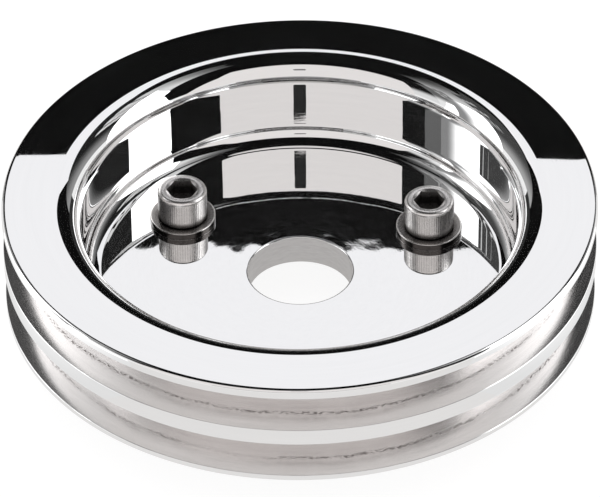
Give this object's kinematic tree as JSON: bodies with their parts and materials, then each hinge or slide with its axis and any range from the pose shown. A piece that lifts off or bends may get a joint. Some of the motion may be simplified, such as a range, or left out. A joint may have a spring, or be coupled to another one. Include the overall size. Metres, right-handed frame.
{
  "type": "double-groove crankshaft pulley",
  "caption": "Polished, dished V-belt crankshaft pulley with belt grooves round its rim, a central bore, a bolt circle, and knurled socket head cap screws on chamfered washers.",
  "frame": {"origin": "on the crankshaft's axis, in the plane of the rear hub face, which seats on the damper", "axes": "+Z along the crankshaft's axis, out of the dished front face; the empty bolt hole is on the -Y side"},
  "size_m": [0.169, 0.169, 0.0503],
  "materials": {
    "pulley_body": "mirror polished, with machined grooves and bore",
    "right_cap_screw": "bright stainless, straight knurled head",
    "right_washer": "bright stainless, polished edge",
    "left_cap_screw": "bright stainless, straight knurled head",
    "left_washer": "bright stainless, polished edge"
  },
  "bodies": {
    "pulley": {"pulley_body": "pulley_body"},
    "right_washer": {"right_washer": "right_washer"},
    "right_screw": {"right_cap_screw": "right_cap_screw"},
    "left_washer": {"left_washer": "left_washer"},
    "left_screw": {"left_cap_screw": "left_cap_screw"}
  },
  "joints": [
    {"name": "right_screw_draw", "type": "slide", "parent": "pulley", "child": "right_washer", "axis": [0, 0, 1], "range_m": [0, 0.055]},
    {"name": "right_screw_turn", "type": "hinge", "parent": "right_washer", "child": "right_screw", "pos_m": [0.03735, 0.01757, 0.0116], "axis": [0, 0, 1], "continuous": true},
    {"name": "left_screw_draw", "type": "slide", "parent": "pulley", "child": "left_washer", "axis": [0, 0, 1], "range_m": [0, 0.055]},
    {"name": "left_screw_turn", "type": "hinge", "parent": "left_washer", "child": "left_screw", "pos_m": [-0.03389, 0.02356, 0.0116], "axis": [0, 0, 1], "continuous": true}
  ]
}
